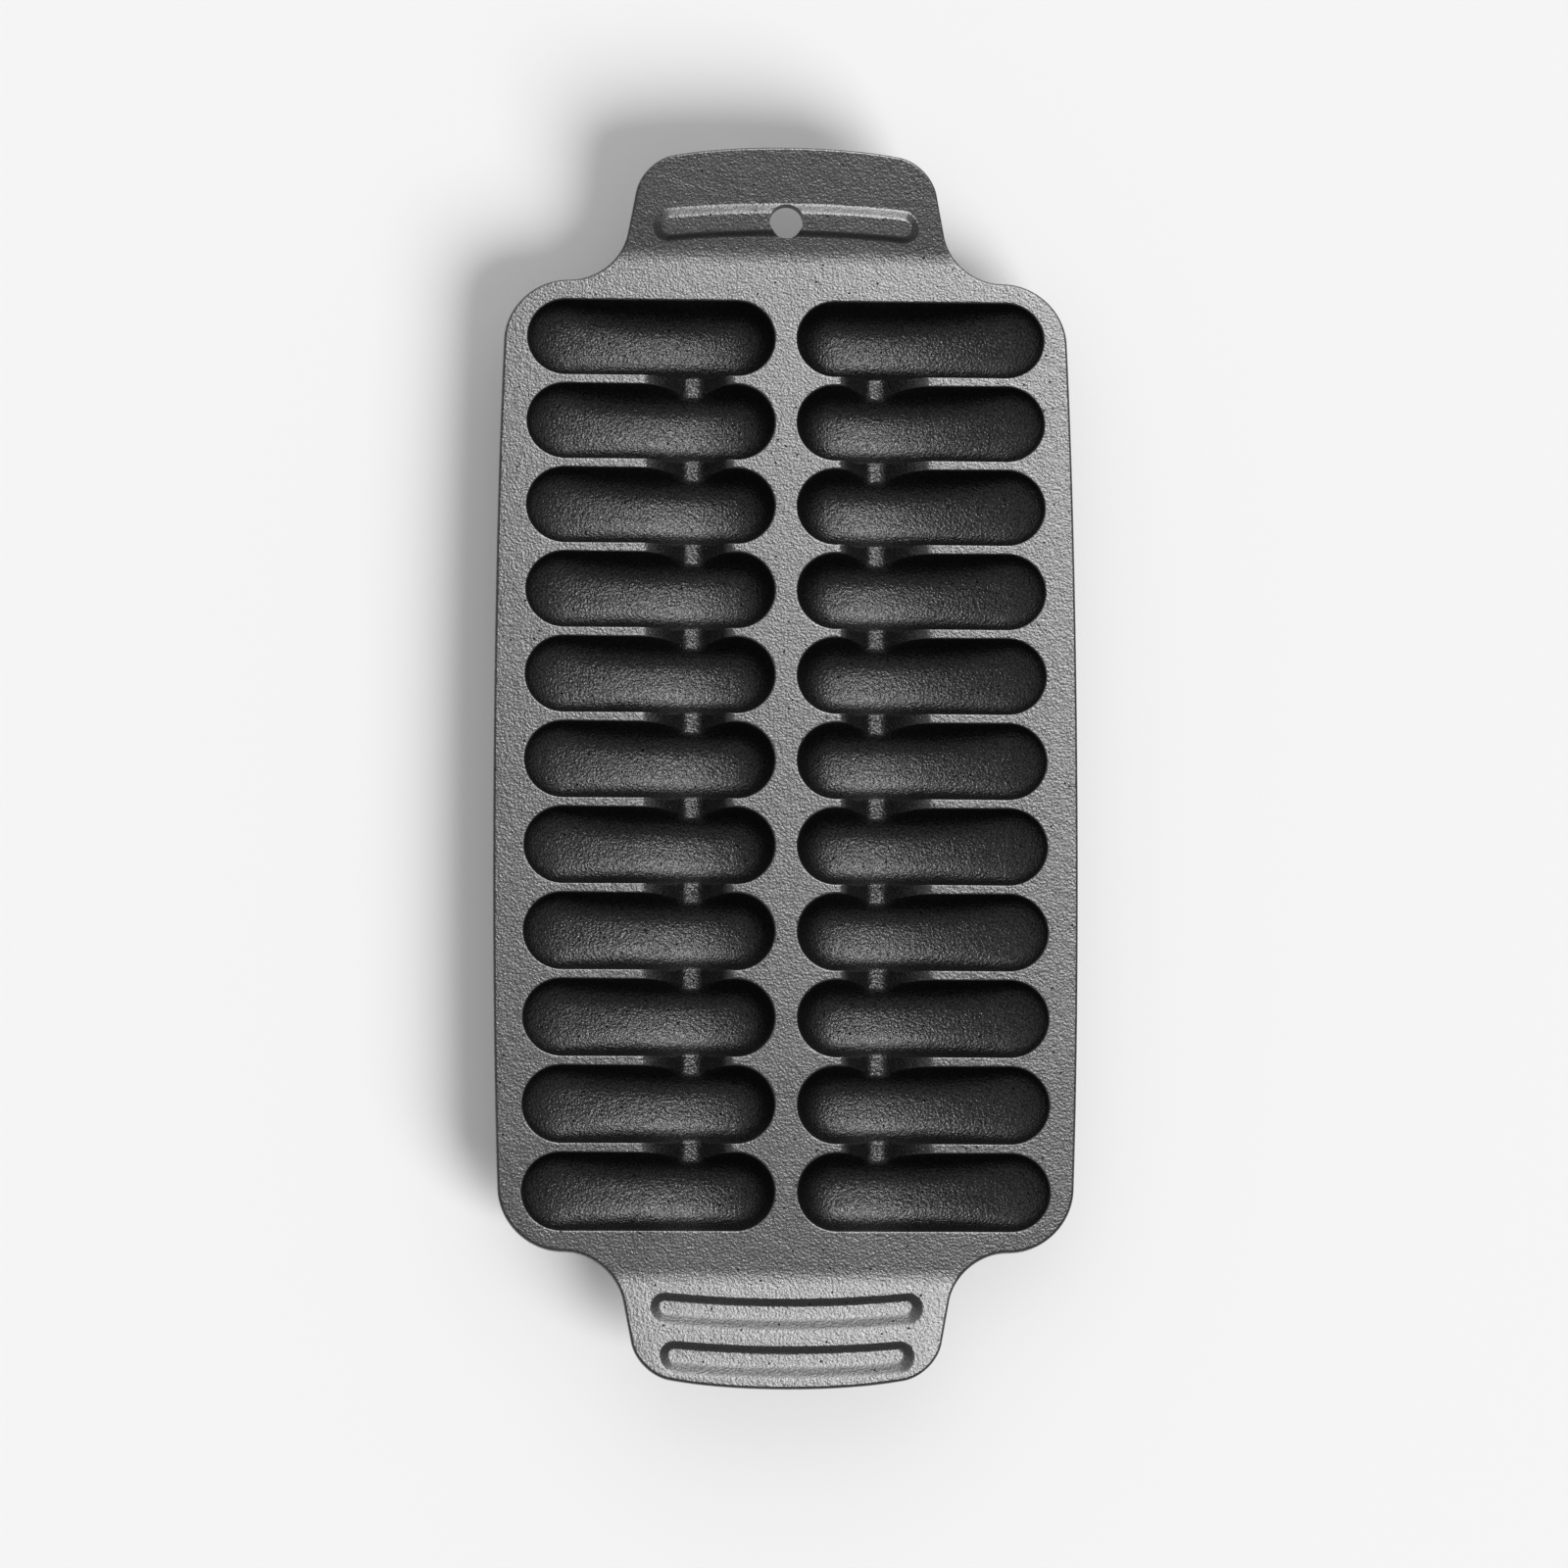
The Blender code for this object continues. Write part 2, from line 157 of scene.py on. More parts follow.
plate = bmesh.new()
corners = plate_corners()
floor_of_plate = PAN_TOP - PLATE_THICKNESS
face = plate.faces.new([plate.verts.new((x, y, floor_of_plate)) for x, y, _, _ in corners])
grown = bmesh.ops.extrude_face_region(plate, geom=[face])
raised = [item for item in grown["geom"] if isinstance(item, bmesh.types.BMVert)]
bmesh.ops.translate(plate, verts=raised, vec=(0, 0, PLATE_THICKNESS))
for (x, y, _, steps), reach in zip(corners, arc_reaches(corners)):
    place = Vector((x, y))
    upright = [edge for edge in plate.edges if is_upright(edge)]
    upright = [edge for edge in upright if (edge.verts[0].co.xy - place).length < TINY]
    bevel(plate, upright, reach, steps)
level = [edge for edge in plate.edges if not is_upright(edge)]
bevel(plate, level, PLATE_EDGE_RADIUS, PLATE_EDGE_STEPS)
pan = object_from("pan_casting_surface", plate)


# The cups: one rounded shell hangs under the plate round each cavity. They run into each other,
# into the saddles that carry the notches, and into the spine between the two columns.

OUTER_END_DEPTH = 0.0045
INNER_END_DEPTH = 0.0130
LOWEST_PLACE = 0.0552
SECTION_FULLNESS = 3.4
SECTION_DRAFT = 0.10
CUP_WALL = 0.0034
PAD_RELIEF = 0.0004
PAD_SHARE = 0.32
CUP_LEVELS = (0.0, 0.3, 0.5, 0.64, 0.75, 0.84, 0.90, 0.94, 0.97, 0.99)
CUP_STEPS = ((20, 14), (18, 17))
CUP_BURIED_SHARE = 0.5

NOTCH_PLACE = 0.0541
NOTCH_DEPTH = 0.0133
NOTCH_FLOOR_WIDTH = 0.0057
NOTCH_OUTER_REACH = 0.0122
NOTCH_INNER_REACH = 0.0110
SADDLE_IRON = 0.0034
SADDLE_BURIED_SHARE = 0.63
SADDLE_END_SHARE = 0.22
SPINE_DEPTH = 0.0100
SPINE_WIDTH = 0.0050
SPINE_TOP_WIDTH = 0.0090
SPINE_BURIED_SHARE = 0.71
SPINE_END_SHARE = 0.31

CAVITY_MIDDLE_X = MIDDLE_WEB / 2 + CAVITY_LENGTH / 2


def width_share(level):
    """How wide a cavity still is, as a share of its rim's width, at this share of its depth."""
    return (1 - level**SECTION_FULLNESS) ** (1 / SECTION_FULLNESS) * (1 - SECTION_DRAFT * level)


def floor_depth(along):
    """Depth of a cavity's centreline, this far from its outer end: one arc each way."""
    along = min(max(along, 0.0), CAVITY_LENGTH)
    rise, span = LOWEST_DEPTH - INNER_END_DEPTH, CAVITY_LENGTH - LOWEST_PLACE
    if along < LOWEST_PLACE:
        rise, span = LOWEST_DEPTH - OUTER_END_DEPTH, LOWEST_PLACE
    radius = (span**2 + rise**2) / (2 * rise)
    return LOWEST_DEPTH - (radius - math.sqrt(radius**2 - (along - LOWEST_PLACE) ** 2))


def cavity_centres():
    """Row number, side (1 or -1) and middle of each cavity, row by row."""
    for row in range(ROWS):
        for side in (1, -1):
            yield row, side, Vector((side * CAVITY_MIDDLE_X, (row - (ROWS - 1) / 2) * PITCH))


def slot_loop(shape, middle, z, length, width, end_segments, side_cuts):
    """Adds a flat closed loop with half-round ends: a circle drawn apart along X. Gives its edges."""
    slot = bmesh.new()
    turn = Matrix.Rotation(math.pi / end_segments, 4, "Z")
    bmesh.ops.create_circle(slot, cap_ends=False, segments=end_segments, radius=width / 2, matrix=turn)
    crossing = [edge for edge in slot.edges if edge.verts[0].co.x * edge.verts[1].co.x < 0]
    for vert in slot.verts:
        vert.co.x += math.copysign((length - width) / 2, vert.co.x)
    bmesh.ops.subdivide_edges(slot, edges=crossing, cuts=side_cuts)
    bmesh.ops.translate(slot, verts=slot.verts, vec=(middle.x, middle.y, z))
    count = len(shape.edges)
    carrier = bpy.data.meshes.new("slot")
    slot.to_mesh(carrier)
    slot.free()
    shape.from_mesh(carrier)
    bpy.data.meshes.remove(carrier)
    shape.edges.ensure_lookup_table()
    return shape.edges[count:]


def next_ring(shape, edges):
    """Draws a loop on by one ring of faces. Gives the new loop's edges and points."""
    grown = bmesh.ops.extrude_edge_only(shape, edges=edges)["geom"]
    edges = [item for item in grown if isinstance(item, bmesh.types.BMEdge)]
    return edges, [item for item in grown if isinstance(item, bmesh.types.BMVert)]


def draw_to(verts, middle, straight, radius):
    """Brings the points of a slot-shaped ring to this radius round the slot's straight middle line."""
    for vert in verts:
        x, y = vert.co.x - middle.x, vert.co.y - middle.y
        core = min(max(x, -straight / 2), straight / 2)
        reach = math.hypot(x - core, y)
        vert.co.x = middle.x + core + (x - core) * radius / reach
        vert.co.y = middle.y + y * radius / reach


def cup(shape, side, middle, steps):
    """The outer form of one cup, from inside the plate down to its flat pad."""
    top = PAN_TOP - PLATE_THICKNESS * CUP_BURIED_SHARE
    under = (top + PAN_TOP - PLATE_THICKNESS) / 2
    full = CAVITY_WIDTH / 2 + CUP_WALL
    straight = CAVITY_LENGTH - CAVITY_WIDTH
    edges = slot_loop(shape, middle, top, straight + 2 * full, 2 * full, *steps)
    bmesh.ops.contextual_create(shape, geom=edges)
    sections = [(level, width_share(level)) for level in CUP_LEVELS] + [(1.0, PAD_SHARE), (1.0, 0.0)]
    for level, share in sections:
        edges, verts = next_ring(shape, edges)
        draw_to(verts, middle, straight, full * share)
        for vert in verts:
            along = CAVITY_LENGTH / 2 - side * (vert.co.x - middle.x)
            lowest = PAN_TOP - floor_depth(along) - CUP_FLOOR - PAD_RELIEF
            vert.co.z = max(under - (under - lowest) * level, 0.0)
    bmesh.ops.remove_doubles(shape, verts=shape.verts, dist=TINY)


def bar(shape, x, profile, reach):
    """A bar of this profile that runs along the pan, as far as reach each way from its middle."""
    start = shape.faces.new([shape.verts.new((x + across, -reach, z)) for across, z in profile])
    grown = bmesh.ops.extrude_face_region(shape, geom=[start])["geom"]
    verts = [item for item in grown if isinstance(item, bmesh.types.BMVert)]
    bmesh.ops.translate(shape, verts=verts, vec=(0, 2 * reach, 0))


def combine(name, shape, operation):
    """Joins this bmesh to the pan, or cuts it away, and takes the result as the pan's mesh."""
    helper = object_from(name, shape)
    modifier = pan.modifiers.new(name, "BOOLEAN")
    modifier.operation = operation
    modifier.object = helper
    modifier.solver = "EXACT"
    result = bpy.data.meshes.new_from_object(pan.evaluated_get(bpy.context.evaluated_depsgraph_get()))
    pan.modifiers.clear()
    before = pan.data
    pan.data = result
    bpy.data.meshes.remove(before)
    bpy.data.objects.remove(helper)


spine = bmesh.new()
spine_top = PAN_TOP - PLATE_THICKNESS * SPINE_BURIED_SHARE
spine_floor = PAN_TOP - SPINE_DEPTH
spine_profile = [(-SPINE_TOP_WIDTH / 2, spine_top), (-SPINE_WIDTH / 2, spine_floor)]
spine_profile += [(-x, z) for x, z in reversed(spine_profile)]
bar(spine, 0.0, spine_profile, (ROWS - 1) * PITCH / 2 + CAVITY_WIDTH * SPINE_END_SHARE)
combine("spine", spine, "UNION")

saddles = bmesh.new()
saddle_top = PAN_TOP - PLATE_THICKNESS * SADDLE_BURIED_SHARE
saddle_floor = PAN_TOP - NOTCH_DEPTH - SADDLE_IRON
saddle_half = NOTCH_FLOOR_WIDTH / 2 + SADDLE_IRON / 2
for side in (1, -1):
    notch_x = side * (CAVITY_MIDDLE_X + CAVITY_LENGTH / 2 - NOTCH_PLACE)
    saddle_profile = [
        (side * (NOTCH_OUTER_REACH + SADDLE_IRON), saddle_top),
        (side * saddle_half, saddle_floor),
        (-side * saddle_half, saddle_floor),
        (-side * (NOTCH_INNER_REACH + SADDLE_IRON), saddle_top),
    ]
    bar(saddles, notch_x, saddle_profile, (ROWS - 1) * PITCH / 2 - CAVITY_WIDTH * SADDLE_END_SHARE)
combine("saddles", saddles, "UNION")

# Neighbours are divided differently, so that no edges of two cups cross at one point.
for row, side, middle in cavity_centres():
    one_cup = bmesh.new()
    cup(one_cup, side, middle, CUP_STEPS[row % 2])
    combine("cup", one_cup, "UNION")


# The cavities: 22 bean-shaped hollows, deepest near the pan's middle, with a small fillet at the
# rim. A notch through each cross wall joins a cavity to the next one.

RIM_RADIUS = 0.0005
RIM_MARGIN = 0.0003
RIM_ANGLES = (25, 50, 72, 90)
POCKET_DEPTH = 0.0010
CAVITY_INSETS_MM = (0.10, 0.24, 0.43, 0.68, 1.0, 1.4, 1.9, 2.5, 3.2, 4.0, 5.0, 6.2, 7.6, 9.2, 11.0)
CAVITY_END_STEPS = 40
CAVITY_SIDE_STEPS = 50
HALVINGS = 40
MM_PER_METRE = 1000
NOTCH_OUTER_BLEND = 0.0093
NOTCH_INNER_BLEND = 0.0027
NOTCH_FLOOR_BLEND = 0.0016
NOTCH_WALL_BLEND = 0.0016
WALL_SAG = 0.0005
WALL_SAG_REACH = 0.0500
WALL_SAG_BLEND = 0.0002


def level_at(inset):
    """Share of its depth that a cavity has reached this far in from its rim, found by halving."""
    low, high = 0.0, 1.0
    for _ in range(HALVINGS):
        middle = (low + high) / 2
        if CAVITY_WIDTH / 2 * (1 - width_share(middle)) < inset:
            low = middle
        else:
            high = middle
    return high


def smooth_greater(first, second, blend):
    """The greater of two heights, with the crease where they cross rounded over."""
    overlap = max(blend - abs(first - second), 0.0)
    return max(first, second) + overlap**2 / (4 * max(blend, TINY))


def notch_depth(across):
    """Depth of a notch at this distance from its middle, positive towards the pan's middle. The
    cross wall's top also sags a little from the pan's side to the notch.
    """
    if across < 0:
        reach, blend = NOTCH_OUTER_REACH, NOTCH_OUTER_BLEND
    else:
        reach, blend = NOTCH_INNER_REACH, NOTCH_INNER_BLEND
    slope = NOTCH_DEPTH / (reach - NOTCH_FLOOR_WIDTH / 2)
    flank = smooth_greater(0.0, slope * (reach - abs(across)), blend)
    if across < 0:
        flank = smooth_greater(flank, WALL_SAG * (1 + across / WALL_SAG_REACH), WALL_SAG_BLEND)
    return -smooth_greater(-flank, -NOTCH_DEPTH, NOTCH_FLOOR_BLEND)


def with_notch(depth, x, y):
    """This depth of the pan's top, or the notch's where that is deeper."""
    if abs(y) > (ROWS - 1) * PITCH / 2:
        return depth
    across = CAVITY_MIDDLE_X + CAVITY_LENGTH / 2 - NOTCH_PLACE - abs(x)
    notch = notch_depth(across)
    return smooth_greater(depth, notch, min(NOTCH_WALL_BLEND, notch))


def divide(shape, faces):
    """Divides these faces into triangles, with the mesh in millimetres meanwhile for exactness."""
    bmesh.ops.scale(shape, vec=[MM_PER_METRE] * 3, verts=shape.verts)
    bmesh.ops.triangulate(shape, faces=faces, quad_method="BEAUTY", ngon_method="BEAUTY")
    bmesh.ops.scale(shape, vec=[1 / MM_PER_METRE] * 3, verts=shape.verts)


rim_reach = RIM_RADIUS + RIM_MARGIN
straight = CAVITY_LENGTH - CAVITY_WIDTH


def pocket(shape, edges):
    """Makes a closed loop in the plane of the pan's top into a shallow cutter."""
    face = bmesh.ops.contextual_create(shape, geom=edges)["faces"]
    grown = bmesh.ops.extrude_face_region(shape, geom=face)["geom"]
    verts = [item for item in grown if isinstance(item, bmesh.types.BMVert)]
    bmesh.ops.translate(shape, verts=verts, vec=(0, 0, 2 * POCKET_DEPTH))


# Each cavity's outline is cut as a shallow pocket, which is opened once the grips' are cut too.
pockets = bmesh.new()
pocket_floor = PAN_TOP - POCKET_DEPTH
for _, _, middle in cavity_centres():
    length, width = CAVITY_LENGTH + 2 * rim_reach, CAVITY_WIDTH + 2 * rim_reach
    edges = slot_loop(pockets, middle, pocket_floor, length, width, CAVITY_END_STEPS, CAVITY_SIDE_STEPS)
    pocket(pockets, edges)


# The grips: a raised rib across the handle with the hanging hole, and two sunk grooves across the
# other handle, all cast in and slightly arched.

HOLE_OFFSET = 0.0205
GRIP_SHIFT = 0.0005
GRIP_SIDE_MARGIN = 0.0078
GRIP_WIDTH = 0.0098
RIB_FLANK = 0.0024
GROOVE_FLANK = 0.0033
GRIP_ARCH_RADIUS = 0.391
RIB_HEIGHT = 0.0017
GROOVE_DEPTH = 0.0016
OUTER_GROOVE_STEP = 0.0151
HOLE_Y = SHOULDER_Y + HOLE_OFFSET
GRIP_Y = HOLE_Y + GRIP_SHIFT
GRIP_END_STEPS = 28
GRIP_SIDE_STEPS = 44
GRIP_INSETS = (0.1, 0.2, 0.3, 0.5, 0.7, 0.8, 0.9, 1.0)
GRIP_FOOT = 0.0006
GRIP_FILLET = 0.3
GRIP_LEAN = 0.0011
LEVEL_TOLERANCE = 1e-6


def handle_width(y):
    """Width of a handle this far from the pan's middle, before its corners are rounded."""
    root_y = SHOULDER_Y + SHOULDER_RISE
    share = (y - root_y) / (SHOULDER_Y + HANDLE_LENGTH - root_y)
    return HANDLE_ROOT_WIDTH + (HANDLE_TIP_WIDTH - HANDLE_ROOT_WIDTH) * share


def grip_length(y):
    return handle_width(y) - 2 * GRIP_SIDE_MARGIN


def arch(verts, end):
    """Bends a straight grip's points into its arch, and back again where end is negated."""
    for vert in verts:
        vert.co.y -= end * vert.co.x**2 / (2 * GRIP_ARCH_RADIUS)


def grip_share(inset):
    """Share of its height that a grip's flank has reached: straight, with a fillet at either end."""
    slope = 1 / (1 - GRIP_FILLET)
    if inset < GRIP_FILLET:
        return slope * inset**2 / (2 * GRIP_FILLET)
    if inset > 1 - GRIP_FILLET:
        return 1 - slope * (1 - inset) ** 2 / (2 * GRIP_FILLET)
    return slope * (inset - GRIP_FILLET / 2)


def open_slot(shape, middle, straight, radius, end=0):
    """The open edges that lie on a slot's outline, arched where end isn't 0."""
    found = []
    for edge in shape.edges:
        if edge.is_boundary:
            x, y = ((edge.verts[0].co + edge.verts[1].co) / 2).xy - middle
            y += end * x**2 / (2 * GRIP_ARCH_RADIUS)
            core = min(max(x, -straight / 2), straight / 2)
            if abs(math.hypot(x - core, y) - radius) < RIM_MARGIN:
                found.append(edge)
    return found


# End of the pan, distance from its middle, and height above the plate.
GRIPS = (
    (1, GRIP_Y, RIB_HEIGHT),
    (-1, GRIP_Y, -GROOVE_DEPTH),
    (-1, GRIP_Y + OUTER_GROOVE_STEP, -GROOVE_DEPTH),
)
for end, y, _ in GRIPS:
    length, width = grip_length(y) + 2 * GRIP_FOOT, GRIP_WIDTH + 2 * GRIP_FOOT
    middle = Vector((0.0, end * y))
    edges = slot_loop(pockets, middle, pocket_floor, length, width, GRIP_END_STEPS, GRIP_SIDE_STEPS)
    arch({vert for edge in edges for vert in edge.verts}, end)
    pocket(pockets, edges)
combine("pockets", pockets, "DIFFERENCE")

# The pockets' floors and walls are taken off, which leaves the plate's top open where they were. The
# faces go in the mesh's own order, so that each run gives the same mesh.
top = bmesh.new()
top.from_mesh(pan.data)
cut = [v for v in top.verts if abs(v.co.z - PAN_TOP + POCKET_DEPTH) < LEVEL_TOLERANCE]
doomed = dict.fromkeys(face for vert in cut for face in vert.link_faces)
bmesh.ops.delete(top, geom=list(doomed), context="FACES")
divide(top, [f for f in top.faces if f.calc_center_median().z > PAN_TOP - LEVEL_TOLERANCE])

rims = [open_slot(top, middle, straight, CAVITY_WIDTH / 2 + rim_reach) for _, _, middle in cavity_centres()]
grips = []
for end, y, height in GRIPS:
    middle = Vector((0.0, end * y))
    grip_straight = grip_length(y) - GRIP_WIDTH
    loop = open_slot(top, middle, grip_straight, GRIP_WIDTH / 2 + GRIP_FOOT, end)
    grips.append((loop, middle, grip_straight, height, end))

# The cross walls' tops follow the notches.
for vert in {vert for edges in rims for edge in edges for vert in edge.verts}:
    vert.co.z = PAN_TOP - with_notch(0.0, vert.co.x, vert.co.y)

# Each cavity goes down from its opening ring by ring: the rim's fillet, then the hollow itself.
cavity_rings = [(-RIM_RADIUS, 0.0, 0.0)]
for angle in RIM_ANGLES:
    turned = math.radians(angle)
    cavity_rings.append((-RIM_RADIUS * (1 - math.sin(turned)), RIM_RADIUS * (1 - math.cos(turned)), 0.0))
for inset in CAVITY_INSETS_MM:
    cavity_rings.append((inset / MM_PER_METRE, RIM_RADIUS, level_at(inset / MM_PER_METRE)))
closed = []
for edges, (_, side, middle) in zip(rims, cavity_centres()):
    for inset, fillet, level in cavity_rings:
        edges, verts = next_ring(top, edges)
        draw_to(verts, middle, straight, CAVITY_WIDTH / 2 - inset)
        for vert in verts:
            along = CAVITY_LENGTH / 2 - side * (vert.co.x - middle.x)
            depth = fillet + (floor_depth(along) - RIM_RADIUS) * level
            vert.co.z = PAN_TOP - with_notch(depth, vert.co.x, vert.co.y)
    closed += bmesh.ops.contextual_create(top, geom=edges)["faces"]

# The rib goes up and the grooves go down in the same way. Their flanks lean towards the pan's middle.
for edges, middle, grip_straight, height, end in grips:
    flank = RIB_FLANK if height > 0 else GROOVE_FLANK
    rings = []
    for inset in GRIP_INSETS:
        edges, verts = next_ring(top, edges)
        arch(verts, -end)
        draw_to(verts, middle, grip_straight, GRIP_WIDTH / 2 + GRIP_FOOT - inset * (GRIP_FOOT + flank))
        arch(verts, end)
        for vert in verts:
            vert.co.z = PAN_TOP + height * grip_share(inset)
        rings.append((inset, verts))
    for inset, verts in rings:
        bmesh.ops.translate(top, verts=verts, vec=(0, -end * GRIP_LEAN * inset, 0))
    closed += bmesh.ops.contextual_create(top, geom=edges)["faces"]
divide(top, closed)


# The bends: both handles rise from the plate beyond the last cavities, so that a hand or an oven
# glove gets under them.

BEND_OFFSET = 0.0090
BEND_RADIUS = 0.034
HANDLE_ANGLE = math.radians(9.0)
BEND_STEPS = 8
BEND_START = SHOULDER_Y + BEND_OFFSET - BEND_RADIUS * math.tan(HANDLE_ANGLE / 2)


def lift(y):
    """Height that the bend adds at this distance along the pan."""
    distance = max(abs(y) - BEND_START, 0.0)
    arc = BEND_RADIUS * math.sin(HANDLE_ANGLE)
    if distance < arc:
        return BEND_RADIUS - math.sqrt(BEND_RADIUS**2 - distance**2)
    return BEND_RADIUS * (1 - math.cos(HANDLE_ANGLE)) + (distance - arc) * math.tan(HANDLE_ANGLE)


for step in range(BEND_STEPS + 1):
    cut_y = BEND_START + BEND_RADIUS * math.sin(HANDLE_ANGLE * step / BEND_STEPS)
    for end in (1, -1):
        bmesh.ops.bisect_plane(
            top,
            geom=top.verts[:] + top.edges[:] + top.faces[:],
            dist=TINY,
            plane_co=(0, end * cut_y, 0),
            plane_no=(0, 1, 0),
        )
for vert in top.verts:
    vert.co.z += lift(vert.co.y)
bmesh.ops.recalc_face_normals(top, faces=top.faces)
put_in_order(top)
top.to_mesh(pan.data)
top.free()


# The hanging hole: a plain round hole through the rib, drilled or cored square to the table. With
# it the casting's form is whole, and it stands for the CAD model's one node.

HANGING_HOLE_DIAMETER = 0.0110
HOLE_STEPS = 48
HOLE_REACH = 0.008
SHARP_ANGLE = math.radians(50)

hole = bmesh.new()
bmesh.ops.create_cone(
    hole,
    cap_ends=True,
    segments=HOLE_STEPS,
    radius1=HANGING_HOLE_DIAMETER / 2,
    radius2=HANGING_HOLE_DIAMETER / 2,
    depth=2 * HOLE_REACH,
)
hole_z = PAN_TOP + lift(HOLE_Y) - PLATE_THICKNESS / 2
bmesh.ops.translate(hole, verts=hole.verts, vec=(0, HOLE_Y, hole_z))
combine("hanging_hole", hole, "DIFFERENCE")

pan.data.polygons.foreach_set("use_smooth", [True] * len(pan.data.polygons))
pan.data.set_sharp_from_angle(angle=SHARP_ANGLE)
# Large flats keep their own shading, untouched by the small fillets beside them.
even = pan.modifiers.new("even_shading", "WEIGHTED_NORMAL")
even.keep_sharp = True
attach(pan, "root")
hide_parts("pan_casting")


# The finish: seasoned cast iron as it comes from the sand mould, near black, with a satin sheen from
# baked-on oil. The real grain is about 0.4 mm. It is drawn 0.8 mm wide, the least that shows in the
# picture. The hollows are coarser than the plate's top. Painted shade darkens their colour by height
# above the pads, and their flecks are stronger as painted glints.

IRON_COLOUR = "#5d5d5d"
PIT_COLOUR = "#262626"
IRON_METALLIC = 0.9
SHEEN_ROUGHNESS = 0.30
SHEEN_VARIATION = 0.015
GRAIN_SIZE = 0.0008
GRAIN_DETAIL = 2.0
GRAIN_HEIGHT_HOLLOW = 0.00036
GRAIN_HEIGHT_TOP = 0.00013
FLECK_SIZE = 0.0006
FLECK_DETAIL = 1.0
# The flecks are random tone. Their extra strength in the hollows is painted glints.
FLECK_AND_GLINT_HOLLOW = 0.60
FLECK_TOP = 0.25
SWELL_SIZE = 0.003
SWELL_DETAIL = 1.0
SWELL_HEIGHT = 0.00006
PIT_SPACING = 0.0045
PIT_FLOOR_SHARE = 0.04
PIT_EDGE_SHARE = 0.09
PIT_DEPTH = 0.00025
PATCH_SIZE = 0.020
PATCH_DETAIL = 3.0
PATCH_VARIATION = 0.06
# Painted shade: the share of the iron's colour left at the bottom of the hollows.
HOLLOW_PAINTED_SHADE = 0.58
HOLLOW_BELOW = 0.0190
TOP_ABOVE = 0.0213
NOISE_LOW = 0.3
NOISE_HIGH = 0.7


def linear(colour):
    """An sRGB colour written as #rrggbb, as the linear RGBA that the shaders take."""
    channels = [int(colour[place : place + 2], 16) / 255 for place in (1, 3, 5)]
    return [c / 12.92 if c <= 0.04045 else ((c + 0.055) / 1.055) ** 2.4 for c in channels] + [1.0]


def add_node(tree, kind, inputs, **settings):
    """Adds a shader node and gives its outputs. An input takes a value or another node's output.
    Inputs and outputs go by their sockets' identifiers.
    """
    node = tree.nodes.new("ShaderNode" + kind)
    for name, value in settings.items():
        setattr(node, name, value)
    sockets = {socket.identifier: socket for socket in node.inputs}
    for name, value in inputs.items():
        if isinstance(value, bpy.types.NodeSocket):
            tree.links.new(value, sockets[name])
        else:
            sockets[name].default_value = value
    return {socket.identifier: socket for socket in node.outputs}


iron = bpy.data.materials.new("seasoned_cast_iron_sand_cast")
iron.use_nodes = True
tree = iron.node_tree
place = add_node(tree, "TexCoord", {})["Object"]
above_pads = add_node(tree, "SeparateXYZ", {"Vector": place})["Z"]
by_height = {"Value": above_pads, "From Min": HOLLOW_BELOW, "From Max": TOP_ABOVE}
by_noise = {"From Min": NOISE_LOW, "From Max": NOISE_HIGH}

# Relief: a slow swell left by the sand, the grain on top of it, and a few small pits.
swell = add_node(tree, "TexNoise", {"Vector": place, "Scale": 1 / SWELL_SIZE, "Detail": SWELL_DETAIL})
swelled = add_node(tree, "Bump", {"Height": swell["Fac"], "Distance": SWELL_HEIGHT})
grain = add_node(tree, "TexNoise", {"Vector": place, "Scale": 1 / GRAIN_SIZE, "Detail": GRAIN_DETAIL})
grain_ends = {"To Min": GRAIN_HEIGHT_HOLLOW, "To Max": GRAIN_HEIGHT_TOP}
grain_height = add_node(tree, "MapRange", {**by_height, **grain_ends})
grained = add_node(
    tree,
    "Bump",
    {"Height": grain["Fac"], "Distance": grain_height["Result"], "Normal": swelled["Normal"]},
)
cells = add_node(tree, "TexVoronoi", {"Vector": place, "Scale": 1 / PIT_SPACING})
pit_ends = {"From Min": PIT_FLOOR_SHARE, "From Max": PIT_EDGE_SHARE, "To Min": 1, "To Max": 0}
pits = add_node(tree, "MapRange", {"Value": cells["Distance"], **pit_ends})
pitted = add_node(
    tree,
    "Bump",
    {"Height": pits["Result"], "Distance": PIT_DEPTH, "Normal": grained["Normal"]},
    invert=True,
)

# Colour: flecks in step with the grain's size, stronger in the hollows as painted glints, slow
# patches, painted shade that darkens the hollows, and dark pits.
fleck = add_node(tree, "TexNoise", {"Vector": place, "Scale": 1 / FLECK_SIZE, "Detail": FLECK_DETAIL})
flecks = add_node(tree, "MapRange", {"Value": fleck["Fac"], **by_noise, "To Min": -1, "To Max": 1})
# Flecks of random tone, stronger lower down, where they also stand in for glints: painted glints.
fleck_and_glint_strength = add_node(tree, "MapRange", {**by_height, "To Min": FLECK_AND_GLINT_HOLLOW, "To Max": FLECK_TOP})
flecked = add_node(
    tree,
    "Math",
    {"Value": flecks["Result"], "Value_001": fleck_and_glint_strength["Result"], "Value_002": 1.0},
    operation="MULTIPLY_ADD",
)
patches = add_node(tree, "TexNoise", {"Vector": place, "Scale": 1 / PATCH_SIZE, "Detail": PATCH_DETAIL})
patches_over_iron = {"Value": patches["Fac"], **by_noise}
patch_ends = {"To Min": 1 - PATCH_VARIATION, "To Max": 1 + PATCH_VARIATION}
patched = add_node(tree, "MapRange", {**patches_over_iron, **patch_ends})
